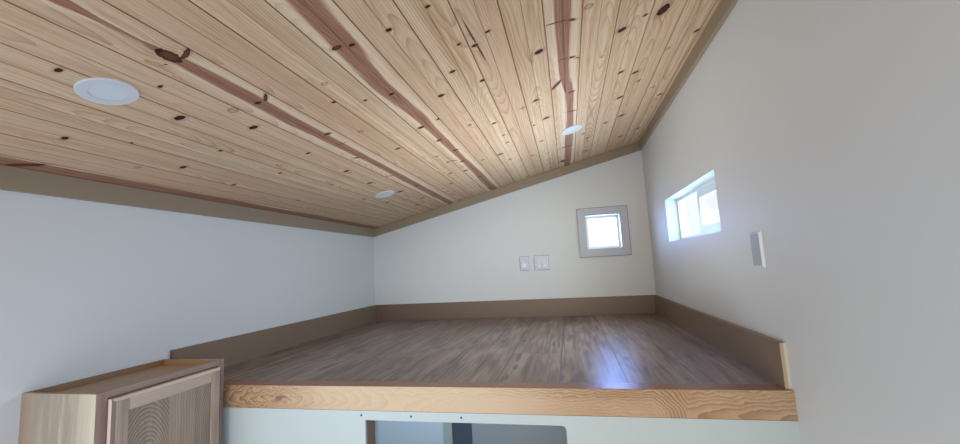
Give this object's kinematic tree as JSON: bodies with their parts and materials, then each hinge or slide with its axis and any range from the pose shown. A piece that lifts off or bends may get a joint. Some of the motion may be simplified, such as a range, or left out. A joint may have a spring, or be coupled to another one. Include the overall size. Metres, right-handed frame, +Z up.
{
  "type": "sleeping loft bay of a tiny house",
  "caption": "End bay of a small timber house with a sleeping loft under a sloping board ceiling, windows, a partition and a wall cabinet with a hinged door.",
  "frame": {"origin": "middle of the base, on the ground side of the floor frame", "axes": "+Z up, +Y from the open front to the end wall, +X to the right as one looks into the loft"},
  "size_m": [2.6668, 3.3408, 3.7061],
  "materials": {
    "framing": "rough sawn",
    "panelling": "painted",
    "knotty_pine": "clear satin",
    "wallboard": "flat paint",
    "painted_trim": "satin paint",
    "siding_paint": "painted",
    "fir": "planed",
    "laminate_floor": "semi gloss",
    "oak": "unfinished",
    "oak_ply": "unfinished",
    "roof_metal": "satin",
    "vinyl": "satin",
    "casing_paint": "satin paint",
    "window_glass": "clear",
    "light_white": "satin",
    "light_diffuser": "frosted",
    "plate_white": "satin",
    "grey_board": "flat",
    "hinge_steel": "brushed"
  },
  "bodies": {
    "bay": {"floor_underside": "roof_metal", "floor_frame": "framing", "floor_deck": "framing", "left_wall_frame": "framing", "right_wall_frame": "framing", "end_wall_frame": "framing", "left_lining": "wallboard", "right_lining": "wallboard", "end_lining": "wallboard", "left_siding": "siding_paint", "right_siding": "siding_paint", "end_siding": "siding_paint", "corner_boards": "siding_paint", "rafters": "framing", "ceiling_boards": "knotty_pine", "roof_deck": "framing", "roof_sheet": "roof_metal", "eave_fascias": "painted_trim", "rake_fascia": "painted_trim", "side_ceiling_trims": "painted_trim", "end_ceiling_trim": "painted_trim", "light_rims": "light_white", "light_lenses": "light_diffuser", "partition_frame": "framing", "partition_panel": "panelling", "backer_board": "grey_board", "loft_beam": "fir", "loft_joists": "framing", "loft_ledgers": "framing", "loft_subfloor": "framing", "loft_floor": "laminate_floor", "side_baseboards": "painted_trim", "end_baseboard": "painted_trim", "window_frames": "vinyl", "side_window_sash": "vinyl", "window_glass": "window_glass", "end_window_casing": "casing_paint", "wall_plates": "plate_white", "cabinet_case": "oak", "cabinet_back": "oak_ply", "cabinet_face_frame": "oak", "cabinet_hinges": "hinge_steel"},
    "cabinet_door": {"door_frame": "oak", "door_panel": "oak", "door_hinge_leaves": "hinge_steel"}
  },
  "joints": [
    {"name": "cabinet_door_hinge", "type": "hinge", "parent": "bay", "child": "cabinet_door", "pos_m": [-0.8705, -0.42515, 1.845], "axis": [0, 0, 1], "range_deg": [0, 90]}
  ]
}
